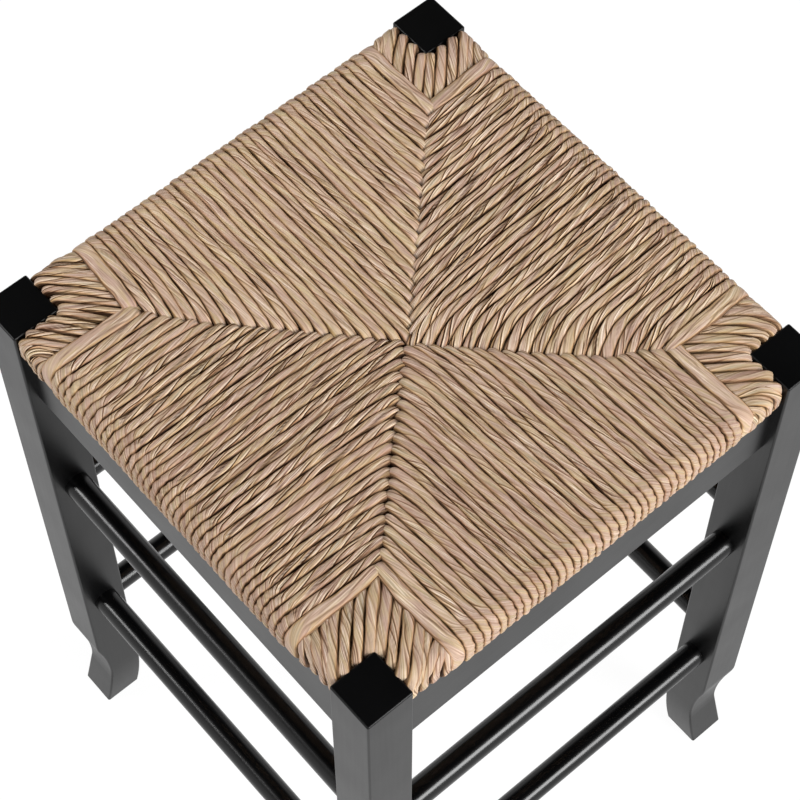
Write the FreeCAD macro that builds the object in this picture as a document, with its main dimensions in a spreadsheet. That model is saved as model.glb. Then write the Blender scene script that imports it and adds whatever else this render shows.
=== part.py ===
import FreeCAD, Part
import math
import os
import re
import Sketcher
from FreeCAD import Placement, Rotation, Vector

# A square counter stool: four square legs with shaped feet, four aprons, eight round stretchers,
# four seat rails hidden in a woven rush seat, and stuffing between its two woven layers.
# Millimetres, +Z up, origin on the floor under the middle of the seat, front of the stool at -Y.

doc = FreeCAD.newDocument("woven_stool")

# Driving sizes
SIZES = {
    "stool_width": (382.0, "across the outer faces of the legs, both ways"),
    "leg_height": (608.0, "floor to leg top"),
    "leg_side": (35.5, "side of the square leg"),
    "edge_ease": (1.5, "rounding of the painted wooden edges"),
    "ogee_top": (116.0, "height where a leg's outer faces start to curve in"),
    "ogee_radius": (50.0, "convex radius at the top of the curve"),
    "ankle_height": (60.0, "height of the narrowest part of the leg"),
    "ankle_depth": (7.0, "how far the outer faces curve in at the ankle"),
    "flare_radius": (100.0, "concave radius under the ankle"),
    "toe_top": (64.0, "height where a leg's inner faces start to curve in"),
    "toe_depth": (4.5, "how far the inner faces have curved in at the floor"),
    "apron_thickness": (20.0, "apron board, centred on the legs"),
    "apron_height": (56.5, "apron board, upright, from its lower edge to the rush"),
    "apron_tenon": (9.0, "thickness of the apron tenon"),
    "apron_tenon_length": (12.0, "apron tenon in the leg"),
    "apron_shoulder": (8.0, "shoulder above and below the apron tenon"),
    "stretcher_diameter": (20.0, "round stretcher"),
    "stretcher_tenon": (14.0, "diameter of the stretcher's turned end"),
    "stretcher_tenon_length": (22.0, "turned end in the leg"),
    "front_upper": (389.5, "axis height of the front and back upper stretchers"),
    "front_lower": (192.0, "axis height of the front and back lower stretchers"),
    "side_upper": (365.0, "axis height of the side upper stretchers"),
    "side_lower": (165.5, "axis height of the side lower stretchers"),
    "rail_width": (24.0, "seat rail, across"),
    "rail_height": (18.0, "seat rail, upright"),
    "rail_rounding": (6.0, "rounding of the rail's long edges"),
    "rail_tenon": (11.0, "diameter of the rail's turned end"),
    "rail_tenon_length": (10.0, "turned end in the leg"),
    "rush_layer": (6.0, "one layer of twisted rush cord"),
    "rush_rise": (1.0, "rim of the rush above the leg tops"),
    "rush_setback": (0.5, "rim of the rush inside the legs' outer faces"),
    "rim_radius": (14.0, "rounding of the rush over the rails"),
    "rim_flat": (2.0, "level strip between the rounded rim and the dished panels"),
    "dish_depth": (10.0, "how far the middle of the seat lies below its rim"),
    "stuffing_gap": (10.0, "between neighbouring stuffing pads, where the cord passes down"),
    "glue_gap": (0.1, "room round a tenon"),
    "end_room": (0.5, "room beyond the end of a tenon"),
}
sheet = doc.addObject("Spreadsheet::Sheet", "sizes")
for row, (alias, (size, meaning)) in enumerate(SIZES.items(), start=1):
    sheet.set(f"A{row}", meaning)
    sheet.set(f"B{row}", str(size))
    sheet.setAlias(f"B{row}", alias)
doc.recompute()

# Sizes that follow from the driving ones, as formulas
SPAN = "(stool_width - 2 * leg_side)"
LEG_CENTRE = "(stool_width / 2 - leg_side / 2)"
RUSH_TOP = "(leg_height + rush_rise)"
RUSH_EDGE = "(stool_width / 2 - rush_setback)"
RAIL_TOP = f"({RUSH_TOP} - rush_layer)"
RAIL_CENTRE_Z = f"({RAIL_TOP} - rail_height / 2)"
RAIL_BOTTOM = f"({RAIL_TOP} - rail_height)"
RUSH_BOTTOM = f"({RAIL_BOTTOM} - rush_layer)"
RAIL_CENTRE = f"({RUSH_EDGE} - rush_layer - rail_width / 2)"
RAIL_INNER = f"({RUSH_EDGE} - rush_layer - rail_width)"
APRON_CENTRE_Z = f"({RUSH_BOTTOM} - apron_height / 2)"
TENON_HEIGHT = "(apron_height - 2 * apron_shoulder)"
DISH_HALF = f"({RUSH_EDGE} - rim_radius - rim_flat)"

# The four sides of the stool with their turn about Z from the front
SIDES = {"front": 0, "right": 90, "back": 180, "left": 270}

# How far a cutting shape stands clear of the wood or rush it cuts, and how near counts as lying on a face
OVERCUT = 1.0
NEAR = 0.5


def formula(text):
    """Write a formula of plain size names the way the document's expressions want it."""
    names = "|".join(sorted(SIZES, key=len, reverse=True))
    return re.sub(rf"\b({names})\b", r"sizes.\1", text)


def number(text):
    return float(sheet.evalExpression(formula(text)))


def bind(target, prop, text):
    target.setExpression(prop, formula(text))


def new_sketch(body, name, role, offset="0"):
    """A sketch on one of the body's origin planes, moved along the plane's normal."""
    sketch = body.newObject("Sketcher::SketchObject", name)
    plane = next(feature for feature in body.Origin.OriginFeatures if feature.Role == role)
    sketch.AttachmentSupport = [(plane, "")]
    sketch.MapMode = "FlatFace"
    bind(sketch, "AttachmentOffset.Base.z", offset)
    return sketch


def hold(sketch, kind, *where):
    """Add one sized constraint: the last item is its formula."""
    index = sketch.addConstraint(Sketcher.Constraint(kind, *where[:-1], number(where[-1])))
    bind(sketch, f"Constraints[{index}]", where[-1])


def hold_point(sketch, geometry, end, x, y):
    hold(sketch, "DistanceX", -1, 1, geometry, end, x)
    hold(sketch, "DistanceY", -1, 1, geometry, end, y)


def outline(sketch, points):
    """A closed outline of straight lines through points given as formula pairs."""
    first = sketch.GeometryCount
    corners = [Vector(number(x), number(y), 0) for x, y in points]
    count = len(points)
    for i in range(count):
        sketch.addGeometry(Part.LineSegment(corners[i], corners[(i + 1) % count]), False)
    for i in range(count):
        sketch.addConstraint(Sketcher.Constraint("Coincident", first + i, 2, first + (i + 1) % count, 1))
    for i, (x, y) in enumerate(points):
        hold_point(sketch, first + i, 1, x, y)


def rectangle(sketch, x, y, width, height):
    """A rectangle by its middle, width and height."""
    left, right = f"{x} - {width} / 2", f"{x} + {width} / 2"
    low, high = f"{y} - {height} / 2", f"{y} + {height} / 2"
    outline(sketch, [(left, low), (right, low), (right, high), (left, high)])


def circle(sketch, x, y, diameter):
    middle = Vector(number(x), number(y), 0)
    index = sketch.addGeometry(Part.Circle(middle, Vector(0, 0, 1), number(diameter) / 2), False)
    hold_point(sketch, index, 3, x, y)
    hold(sketch, "Diameter", index, diameter)


def feature(body, kind, name, sketch, length, symmetric=False, backwards=False):
    """A pad or a pocket of a sketch."""
    made = body.newObject(f"PartDesign::{kind}", name)
    made.Profile = sketch
    bind(made, "Length", length)
    made.SideType = "Symmetric" if symmetric else "One side"
    made.Reversed = backwards
    doc.recompute()
    return made


def ease(body, name, base, radius, wanted):
    """Round the edges of a feature that the test picks out."""
    picked = [f"Edge{i}" for i, edge in enumerate(base.Shape.Edges, start=1) if wanted(edge)]
    rounding = body.newObject("PartDesign::Fillet", name)
    rounding.Base = (base, picked)
    bind(rounding, "Radius", radius)
    doc.recompute()
    return rounding


def place(piece, turn, offset="0", height="0"):
    """Set a piece on one side of the stool: turned about Z, out from the middle, up from the floor."""
    piece.Placement = Placement(Vector(), Rotation(Vector(0, 0, 1), turn))
    across = round(math.sin(math.radians(turn)))
    along = -round(math.cos(math.radians(turn)))
    bind(piece, "Placement.Base.x", f"{across} * {offset}")
    bind(piece, "Placement.Base.y", f"{along} * {offset}")
    bind(piece, "Placement.Base.z", height)


def join_arc(sketch, middle, radius, start, stop):
    """An arc by its middle, radius and angles in degrees, counter-clockwise."""
    whole = Part.Circle(Vector(middle[0], middle[1], 0), Vector(0, 0, 1), radius)
    return sketch.addGeometry(Part.ArcOfCircle(whole, math.radians(start), math.radians(stop)), False)


def foot_curve(sketch):
    """The wood cut away at a foot, seen from the side with the outer face on the left.

    Outer face: a convex arc, a concave arc to the ankle, a second concave arc and a straight flare
    down to the floor. Inner face: one long arc that takes the toe in.
    """
    half = number("leg_side / 2")
    top, ankle, depth = number("ogee_top"), number("ankle_height"), number("ankle_depth")
    convex, flare = number("ogee_radius"), number("flare_radius")
    lean = 2 * math.degrees(math.atan(depth / (top - ankle)))
    concave = (top - ankle) / math.sin(math.radians(lean)) - convex
    reach = math.hypot(flare - depth, ankle)
    tilt = math.degrees(math.atan2(ankle, flare - depth) - math.acos(flare / reach))
    waist = depth - half
    touch = Vector(waist - flare + flare * math.cos(math.radians(tilt)),
                   ankle - flare * math.sin(math.radians(tilt)), 0)
    upper = join_arc(sketch, (convex - half, top), convex, 180, 180 + lean)
    lower = join_arc(sketch, (waist - concave, ankle), concave, 0, lean)
    under = join_arc(sketch, (waist - flare, ankle), flare, -tilt, 0)
    waste = -2 * half
    corners = [touch, Vector(-half, 0, 0), Vector(waste, 0, 0), Vector(waste, top, 0),
               Vector(-half, top, 0)]
    lines = [sketch.addGeometry(Part.LineSegment(a, b), False) for a, b in zip(corners, corners[1:])]
    flare_line, floor_line, waste_line, top_line = lines
    for meeting in ((upper, 2, lower, 2), (lower, 1, under, 2), (under, 1, flare_line, 1)):
        sketch.addConstraint(Sketcher.Constraint("Tangent", *meeting))
    for one, other in ((flare_line, floor_line), (floor_line, waste_line), (waste_line, top_line)):
        sketch.addConstraint(Sketcher.Constraint("Coincident", one, 2, other, 1))
    sketch.addConstraint(Sketcher.Constraint("Coincident", top_line, 2, upper, 1))
    hold(sketch, "Radius", upper, "ogee_radius")
    hold(sketch, "Radius", under, "flare_radius")
    hold_point(sketch, upper, 1, "-leg_side / 2", "ogee_top")
    hold(sketch, "DistanceY", -1, 1, upper, 3, "ogee_top")
    hold_point(sketch, lower, 1, "ankle_depth - leg_side / 2", "ankle_height")
    hold(sketch, "DistanceY", -1, 1, lower, 3, "ankle_height")
    hold_point(sketch, floor_line, 1, "-leg_side / 2", "0")
    hold_point(sketch, waste_line, 1, "-leg_side", "0")
    hold_point(sketch, top_line, 1, "-leg_side", "ogee_top")

    toe_top, toe = number("toe_top"), number("toe_depth")
    bend = (toe_top ** 2 + toe ** 2) / (2 * toe)
    swing = math.degrees(math.asin(toe_top / bend))
    inner = join_arc(sketch, (half - bend, toe_top), bend, -swing, 0)
    corners = [Vector(half, toe_top, 0), Vector(2 * half, toe_top, 0), Vector(2 * half, 0, 0),
               Vector(half - toe, 0, 0)]
    lines = [sketch.addGeometry(Part.LineSegment(a, b), False) for a, b in zip(corners, corners[1:])]
    for one, other in zip(lines, lines[1:]):
        sketch.addConstraint(Sketcher.Constraint("Coincident", one, 2, other, 1))
    sketch.addConstraint(Sketcher.Constraint("Coincident", inner, 2, lines[0], 1))
    sketch.addConstraint(Sketcher.Constraint("Coincident", inner, 1, lines[2], 2))
    hold_point(sketch, inner, 2, "leg_side / 2", "toe_top")
    hold_point(sketch, inner, 1, "leg_side / 2 - toe_depth", "0")
    hold(sketch, "DistanceY", -1, 1, inner, 3, "toe_top")
    hold_point(sketch, lines[1], 1, "leg_side", "toe_top")
    hold_point(sketch, lines[2], 1, "leg_side", "0")


def leg(label, toward_x, toward_y, turn):
    """One leg, drawn with its outer faces at -X and -Y, with the stretcher heights of each inner face."""
    body = doc.addObject("PartDesign::Body", label)
    section = new_sketch(body, f"{label}_section", "XY_Plane")
    rectangle(section, "0", "0", "leg_side", "leg_side")
    feature(body, "Pad", f"{label}_post", section, "leg_height")
    for plane in ("XZ_Plane", "YZ_Plane"):
        curve = new_sketch(body, f"{label}_foot_{plane}", plane)
        foot_curve(curve)
        made = feature(body, "Pocket", f"{label}_foot_cut_{plane}", curve, "2 * leg_side", symmetric=True)
    low_edge = number("leg_height") - number("edge_ease")
    made = ease(body, f"{label}_eased_edges", made, "edge_ease",
                lambda edge: edge.BoundBox.ZMax > low_edge)

    # Joints: the plane's normal points out of the +X face, but into the +Y face
    for plane, offset, backwards, heights in (("YZ_Plane", "leg_side / 2", False, toward_x),
                                              ("XZ_Plane", "-leg_side / 2", True, toward_y)):
        bores = new_sketch(body, f"{label}_stretcher_bores_{plane}", plane, offset)
        for height in heights:
            circle(bores, "0", height, "stretcher_tenon + 2 * glue_gap")
        feature(body, "Pocket", f"{label}_stretcher_holes_{plane}", bores,
                "stretcher_tenon_length + end_room", backwards=backwards)
        slot = new_sketch(body, f"{label}_mortise_{plane}", plane, offset)
        rectangle(slot, "0", APRON_CENTRE_Z, "(apron_tenon + 2 * glue_gap)",
                  f"({TENON_HEIGHT} + 2 * glue_gap)")
        feature(body, "Pocket", f"{label}_mortise_hole_{plane}", slot,
                "apron_tenon_length + end_room", backwards=backwards)
        socket = new_sketch(body, f"{label}_rail_socket_{plane}", plane, offset)
        circle(socket, f"{LEG_CENTRE} - {RAIL_CENTRE}", RAIL_CENTRE_Z, "rail_tenon + 2 * glue_gap")
        feature(body, "Pocket", f"{label}_rail_hole_{plane}", socket,
                "rail_tenon_length + end_room", backwards=backwards)
    body.Placement = Placement(Vector(), Rotation(Vector(0, 0, 1), turn))
    side_x = 1 if turn in (90, 180) else -1
    side_y = 1 if turn in (180, 270) else -1
    bind(body, "Placement.Base.x", f"{side_x} * {LEG_CENTRE}")
    bind(body, "Placement.Base.y", f"{side_y} * {LEG_CENTRE}")
    return body


def apron(label, turn):
    """One apron board with a tenon at each end, drawn along X about its own middle."""
    body = doc.addObject("PartDesign::Body", label)
    face = new_sketch(body, f"{label}_face", "XZ_Plane")
    rectangle(face, "0", "0", SPAN, "apron_height")
    board = feature(body, "Pad", f"{label}_board", face, "apron_thickness", symmetric=True)
    low = board.Shape.BoundBox.ZMin
    ease(body, f"{label}_eased_edges", board, "edge_ease",
         lambda edge: edge.BoundBox.ZMax < low + NEAR and edge.BoundBox.XLength > NEAR)
    cheek = new_sketch(body, f"{label}_cheek", "XZ_Plane")
    rectangle(cheek, "0", "0", f"({SPAN} + 2 * apron_tenon_length)", TENON_HEIGHT)
    feature(body, "Pad", f"{label}_tenons", cheek, "apron_tenon", symmetric=True)
    place(body, turn, LEG_CENTRE, APRON_CENTRE_Z)
    return body


def stretcher(label, turn, height):
    """One round stretcher, turned from a single profile about X."""
    body = doc.addObject("PartDesign::Body", label)
    profile = new_sketch(body, f"{label}_profile", "XY_Plane")
    shoulder, tip = f"{SPAN} / 2", f"({SPAN} / 2 + stretcher_tenon_length)"
    outline(profile, [(f"-{tip}", "0"), (tip, "0"), (tip, "stretcher_tenon / 2"),
                      (shoulder, "stretcher_tenon / 2"), (shoulder, "stretcher_diameter / 2"),
                      (f"-{shoulder}", "stretcher_diameter / 2"), (f"-{shoulder}", "stretcher_tenon / 2"),
                      (f"-{tip}", "stretcher_tenon / 2")])
    turned = body.newObject("PartDesign::Revolution", f"{label}_turned")
    turned.Profile = profile
    turned.ReferenceAxis = (profile, ["H_Axis"])
    turned.Angle = 360
    place(body, turn, LEG_CENTRE, height)
    return body


def seat_rail(label, turn):
    """One seat rail with rounded edges and a turned end in each leg."""
    body = doc.addObject("PartDesign::Body", label)
    section = new_sketch(body, f"{label}_section", "YZ_Plane")
    rectangle(section, "0", "0", "rail_width", "rail_height")
    bar = feature(body, "Pad", f"{label}_bar", section, SPAN, symmetric=True)
    ease(body, f"{label}_rounded_edges", bar, "rail_rounding",
         lambda edge: edge.BoundBox.XLength > number(SPAN) / 2)
    spigot = new_sketch(body, f"{label}_spigot", "YZ_Plane")
    circle(spigot, "0", "0", "rail_tenon")
    feature(body, "Pad", f"{label}_tenons", spigot, f"{SPAN} + 2 * rail_tenon_length", symmetric=True)
    place(body, turn, RAIL_CENTRE, RAIL_CENTRE_Z)
    return body


def stuffing(label, turn):
    """One three-cornered pad between the woven layers, its top sloping down to the middle of the seat."""
    body = doc.addObject("PartDesign::Body", label)
    plan = new_sketch(body, f"{label}_plan", "XY_Plane", RAIL_BOTTOM)
    point = "(stuffing_gap / sqrt(2))"
    base = f"({RAIL_INNER} - {point})"
    outline(plan, [("0", f"-{point}"), (f"-{base}", f"-{RAIL_INNER}"), (base, f"-{RAIL_INNER}")])
    feature(body, "Pad", f"{label}_block", plan, "rail_height")
    slope = new_sketch(body, f"{label}_slope", "YZ_Plane")
    outline(slope, [(f"-{DISH_HALF}", RAIL_TOP), ("0", f"{RAIL_TOP} - dish_depth"), ("0", RAIL_TOP)])
    feature(body, "Pocket", f"{label}_sloped_top", slope, "2 * stool_width", symmetric=True)
    place(body, turn)
    return body


def rush_seat(label, inside):
    """The woven rush as one wound body: a dished cushion with a round rim, hollow round its core."""
    body = doc.addObject("PartDesign::Body", f"{label}_cushion")
    plan = new_sketch(body, f"{label}_plan", "XY_Plane", RUSH_BOTTOM)
    rectangle(plan, "0", "0", f"(2 * {RUSH_EDGE})", f"(2 * {RUSH_EDGE})")
    feature(body, "Pad", f"{label}_block", plan, f"{RUSH_TOP} - {RUSH_BOTTOM}")
    corners = new_sketch(body, f"{label}_corners", "XY_Plane", RUSH_TOP)
    for side_x in (-1, 1):
        for side_y in (-1, 1):
            rectangle(corners, f"{side_x} * {LEG_CENTRE}", f"{side_y} * {LEG_CENTRE}",
                      "leg_side", "leg_side")
    block = feature(body, "Pocket", f"{label}_leg_corners", corners, f"{RUSH_TOP} - {RUSH_BOTTOM}")
    rim = number(RUSH_EDGE)
    span = number(SPAN)

    def is_rim(edge):
        box = edge.BoundBox
        across = max(abs(box.Center.x), abs(box.Center.y))
        return across > rim - NEAR and edge.Length > span / 2

    ease(body, f"{label}_rim", block, "rim_radius", is_rim)

    # A flat pyramid, point down, takes the panels down toward the middle
    dish = doc.addObject("Part::Wedge", f"{label}_dish")
    base = f"{DISH_HALF} * (1 + {OVERCUT} / dish_depth)"
    for prop, text in (("Xmin", f"-{base}"), ("Xmax", base), ("Zmin", f"-{base}"), ("Zmax", base),
                       ("Ymin", "0"), ("Ymax", f"dish_depth + {OVERCUT}"),
                       ("X2min", "0"), ("X2max", "0"), ("Z2min", "0"), ("Z2max", "0")):
        bind(dish, prop, text)
    dish.Placement = Placement(Vector(), Rotation(Vector(1, 0, 0), -90))
    bind(dish, "Placement.Base.z", f"{RUSH_TOP} + {OVERCUT}")
    cushion = doc.addObject("Part::Cut", f"{label}_dished")
    cushion.Base = body
    cushion.Tool = dish
    core = doc.addObject("Part::MultiFuse", f"{label}_core")
    core.Shapes = inside
    seat = doc.addObject("Part::Cut", label)
    seat.Base = cushion
    seat.Tool = core
    return seat


# The pieces
FRONT_HEIGHTS = ("front_upper", "front_lower")
SIDE_HEIGHTS = ("side_upper", "side_lower")
nodes = [
    leg("front_left_leg", FRONT_HEIGHTS, SIDE_HEIGHTS, 0),
    leg("front_right_leg", SIDE_HEIGHTS, FRONT_HEIGHTS, 90),
    leg("back_right_leg", FRONT_HEIGHTS, SIDE_HEIGHTS, 180),
    leg("back_left_leg", SIDE_HEIGHTS, FRONT_HEIGHTS, 270),
]
wound = []
for side, turn in SIDES.items():
    upper, lower = FRONT_HEIGHTS if side in ("front", "back") else SIDE_HEIGHTS
    nodes.append(apron(f"{side}_apron", turn))
    nodes.append(stretcher(f"{side}_upper_stretcher", turn, upper))
    nodes.append(stretcher(f"{side}_lower_stretcher", turn, lower))
    wound.append(seat_rail(f"{side}_seat_rail", turn))
    wound.append(stuffing(f"{side}_stuffing", turn))
nodes += wound
nodes.append(rush_seat("rush_seat", wound))
doc.recompute()

# Every object must have solved, and every piece must be one valid solid, before anything is written
for item in doc.Objects:
    faults = [state for state in item.State if state in ("Invalid", "Error")]
    if faults:
        raise RuntimeError(f"{item.Label} did not solve: {faults}")
for piece in nodes:
    shape = piece.Shape
    if shape.isNull() or not shape.isValid() or len(shape.Solids) != 1:
        raise RuntimeError(f"{piece.Label} is not one valid solid")
os.makedirs("parts", exist_ok=True)
for piece in nodes:
    piece.Shape.Solids[0].exportStep(f"parts/{piece.Label}.step")
    box = piece.Shape.BoundBox
    print(f"{piece.Label:24s} {piece.Shape.Volume / 1000:9.2f} cm3  x {box.XMin:7.1f} {box.XMax:7.1f}"
          f"  y {box.YMin:7.1f} {box.YMax:7.1f}  z {box.ZMin:6.1f} {box.ZMax:6.1f}")
print("pieces:", len(nodes))
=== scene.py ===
# %% [markdown]
# # A woven counter stool
# The stool has a black painted frame and a seat of twisted rush, wound over four hidden rails.
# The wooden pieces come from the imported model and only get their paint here.
# The seat is rebuilt strand by strand, because its strands are what the eye reads first.

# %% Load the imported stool
import math
import random

import bpy
from mathutils import Matrix, Vector


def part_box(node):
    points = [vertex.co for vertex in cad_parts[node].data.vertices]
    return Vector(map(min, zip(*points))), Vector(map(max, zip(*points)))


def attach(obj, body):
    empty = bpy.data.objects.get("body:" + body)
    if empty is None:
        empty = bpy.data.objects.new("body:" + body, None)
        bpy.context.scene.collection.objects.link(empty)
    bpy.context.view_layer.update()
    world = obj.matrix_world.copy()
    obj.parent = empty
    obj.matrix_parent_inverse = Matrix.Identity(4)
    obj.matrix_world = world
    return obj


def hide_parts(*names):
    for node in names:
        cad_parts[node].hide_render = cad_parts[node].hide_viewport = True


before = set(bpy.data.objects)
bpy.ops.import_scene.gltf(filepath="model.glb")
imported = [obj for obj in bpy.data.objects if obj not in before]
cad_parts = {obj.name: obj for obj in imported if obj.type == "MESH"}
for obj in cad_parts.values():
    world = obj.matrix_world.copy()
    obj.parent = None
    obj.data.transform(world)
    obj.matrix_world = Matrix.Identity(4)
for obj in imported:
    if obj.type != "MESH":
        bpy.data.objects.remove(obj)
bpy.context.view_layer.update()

MM = 0.001
print("pieces in the packed stool:", len(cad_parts))

# %% [markdown]
# ## A workbench for nodes
# Materials and Geometry Nodes are both trees of nodes. Placing each node by hand takes many lines,
# so one class wraps a tree and one wraps a socket. Arithmetic on wrapped sockets adds Math nodes,
# and a long formula then reads like ordinary Python.

# %% Wrap sockets and trees
class Wire:
    """One output socket. Arithmetic on it adds Math nodes to its tree."""

    def __init__(self, bench, socket):
        self.bench = bench
        self.socket = socket

    def also(self, output):
        """Another output of the same node."""
        return Wire(self.bench, self.socket.node.outputs[output])

    def math(self, operation, first, second=0.0):
        """A Math node on one or two values."""
        return self.bench.add("ShaderNodeMath", {"operation": operation}, {0: first, 1: second})

    def __add__(self, other):
        return self.math("ADD", self, other)

    def __radd__(self, other):
        return self.math("ADD", other, self)

    def __sub__(self, other):
        return self.math("SUBTRACT", self, other)

    def __rsub__(self, other):
        return self.math("SUBTRACT", other, self)

    def __mul__(self, other):
        return self.math("MULTIPLY", self, other)

    def __rmul__(self, other):
        return self.math("MULTIPLY", other, self)

    def __truediv__(self, other):
        return self.math("DIVIDE", self, other)

    def __rtruediv__(self, other):
        return self.math("DIVIDE", other, self)

    def __pow__(self, other):
        return self.math("POWER", self, other)

    def __abs__(self):
        return self.math("ABSOLUTE", self)

    def at_least(self, low):
        """The greater of this and another value."""
        return self.math("MAXIMUM", self, low)

    def at_most(self, high):
        """The smaller of this and another value."""
        return self.math("MINIMUM", self, high)


class Bench:
    """A node tree that is being built."""

    def __init__(self, tree):
        self.tree = tree

    def add(self, kind, settings=None, sockets=None, output=0):
        """Add a node: first its settings, then values or wires for its sockets."""
        node = self.tree.nodes.new(kind)
        for name, value in (settings or {}).items():
            if name == "stops":
                ramp = node.color_ramp
                while len(ramp.elements) < len(value):
                    ramp.elements.new(1.0)
                for element, (place, colour) in zip(ramp.elements, value):
                    element.position = place
                    element.color = colour
            else:
                setattr(node, name, value)
        for key, value in (sockets or {}).items():
            if isinstance(value, Wire):
                self.tree.links.new(value.socket, node.inputs[key])
            else:
                node.inputs[key].default_value = value
        return Wire(self, node.outputs[output]) if node.outputs else None

    def vector(self, operation, first, second=(0.0, 0.0, 0.0)):
        """Vector Math on two vectors."""
        result = "Value" if operation in ("DOT_PRODUCT", "LENGTH") else "Vector"
        settings = {"operation": operation}
        return self.add("ShaderNodeVectorMath", settings, {0: first, 1: second}, result)

    def scaled(self, vector, factor):
        """A vector made longer or shorter."""
        settings = {"operation": "SCALE"}
        return self.add("ShaderNodeVectorMath", settings, {0: vector, "Scale": factor})

    def parts(self, vector):
        """The X of a vector. Its Y and Z are other outputs of the same node."""
        return self.add("ShaderNodeSeparateXYZ", None, {0: vector})

    def turned_back(self, ring, angle):
        """A place on a ring, turned back round Z by an angle."""
        settings = {"rotation_type": "Z_AXIS"}
        return self.add("ShaderNodeVectorRotate", settings, {"Vector": ring, "Angle": 0.0 - angle})

    def noise(self, place, scale=1.0, detail=1.0, **more):
        """Noise with so many cycles per unit of the place."""
        sockets = {"Vector": place, "Scale": scale, "Detail": detail, **more}
        return self.add("ShaderNodeTexNoise", None, sockets)

    def noise_at(self, x, y, z, detail, **more):
        """Noise at a place that is given by three values."""
        place = self.add("ShaderNodeCombineXYZ", None, {"X": x, "Y": y, "Z": z})
        return self.noise(place, detail=detail, **more)

    def blend(self, factor, first, second, way="MIX"):
        """Mix two colours. Sockets 6 and 7 and output 2 are the Mix node's sockets for colours."""
        settings = {"data_type": "RGBA", "blend_type": way}
        return self.add("ShaderNodeMix", settings, {0: factor, 6: first, 7: second}, 2)


print("nodes of Blender", bpy.app.version_string)

# %% Name colours and start materials
def grey(share):
    """A grey in linear light, from black at 0 to white at 1."""
    return (share, share, share, 1.0)


def rgb(red, green, blue):
    """A colour as it is seen on a screen, 0 to 255, turned into the linear light that shaders use.
    The numbers in the formula are those of the sRGB standard."""
    def linear(value):
        share = value / 255
        return share / 12.92 if share <= 0.04045 else ((share + 0.055) / 1.055) ** 2.4
    return (linear(red), linear(green), linear(blue), 1.0)


def new_material(name):
    """An empty node material and its bench."""
    material = bpy.data.materials.new(name)
    material.use_nodes = True
    material.node_tree.nodes.clear()
    return material, Bench(material.node_tree)


def finish_material(bench, shader):
    """Join a shader to the material's output."""
    bench.add("ShaderNodeOutputMaterial", None, {"Surface": shader})


print("a middle grey of 118 is", round(rgb(118, 118, 118)[0], 3), "in linear light")

# %% [markdown]
# ## The camera
# The camera stands above the front right corner and looks steeply down, so that one leg top comes
# close to the lower edge of the picture. A long lens from well away keeps the sides nearly parallel.

# %% Set the camera
CAMERA_PLACE = Vector((0.602, -0.5202, 1.944))
CAMERA_AIM = Vector((-0.0089, 0.0058, 0.5))
CAMERA_LENS = 110.1
SENSOR_WIDTH = 36.0


def set_up(thing, place):
    """Put a camera or a lamp in its place and turn it to the seat."""
    thing.location = place
    way = CAMERA_AIM - thing.location
    thing.rotation_mode = "QUATERNION"
    thing.rotation_quaternion = way.to_track_quat("-Z", "Y")
    bpy.context.scene.collection.objects.link(thing)
    print(thing.name, "is", round(way.length, 2), "m from the seat")


camera_data = bpy.data.cameras.new("camera")
camera_data.lens = CAMERA_LENS
camera_data.sensor_width = SENSOR_WIDTH
camera = bpy.data.objects.new("camera", camera_data)
set_up(camera, CAMERA_PLACE)
bpy.context.scene.camera = camera

# %% [markdown]
# ## The studio
# A white floor, a soft sky and three softboxes. Black paint shows little of its own colour: what the
# legs show is the white floor, mirrored more strongly the flatter one looks at them.
# The sky that mirrors see is white near the horizon and dark overhead, as in a room with a high black
# ceiling, so the leg tops stay black while the leg sides turn grey.
# The right softbox is the main light and shines in the right stretchers. The front one hangs behind the
# camera and fills the shadows. The left one is small and draws a thin line of light on the front
# stretchers.

# %% Light the sky
SKY_LIGHT = 0.39
HORIZON_TO_CEILING = [(0.30, grey(1.0)), (0.62, grey(0.0))]


def looked_at(bench):
    """1 for what the camera sees, also in a mirror or through glass, and 0 for what only sheds light."""
    path = bench.add("ShaderNodeLightPath", None, None, "Is Camera Ray")
    return path.at_least(path.also("Is Glossy Ray")).at_least(path.also("Is Transmission Ray"))


bpy.context.scene.view_settings.view_transform = "Standard"
world = bpy.data.worlds.new("studio_sky")
world.use_nodes = True
world.node_tree.nodes.clear()
sky = Bench(world.node_tree)
direction = sky.add("ShaderNodeTexCoord", None, None, "Generated")
height = sky.parts(direction).also("Z")
backdrop = sky.add("ShaderNodeValToRGB", {"stops": HORIZON_TO_CEILING}, {"Fac": height})
sky_colour = sky.blend(looked_at(sky), grey(SKY_LIGHT), backdrop)
background = sky.add("ShaderNodeBackground", None, {"Color": sky_colour})
sky.add("ShaderNodeOutputWorld", None, {"Surface": background})
bpy.context.scene.world = world
print("sky light:", SKY_LIGHT)

# %% Hang the softboxes
SOFTBOXES = {
    "right_softbox": {"place": (3.5, 1.0, 2.1), "size": 1.6, "power": 150.0},
    "front_softbox": {"place": (2.3, -1.8, 3.3), "size": 1.5, "power": 38.0},
    "left_softbox": {"place": (-2.0, -2.5, 2.7), "size": 0.95, "power": 60.0},
}
for name, box in SOFTBOXES.items():
    lamp = bpy.data.lights.new(name, "AREA")
    lamp.size = box["size"]
    lamp.energy = box["power"]
    set_up(bpy.data.objects.new(name, lamp), box["place"])

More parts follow.
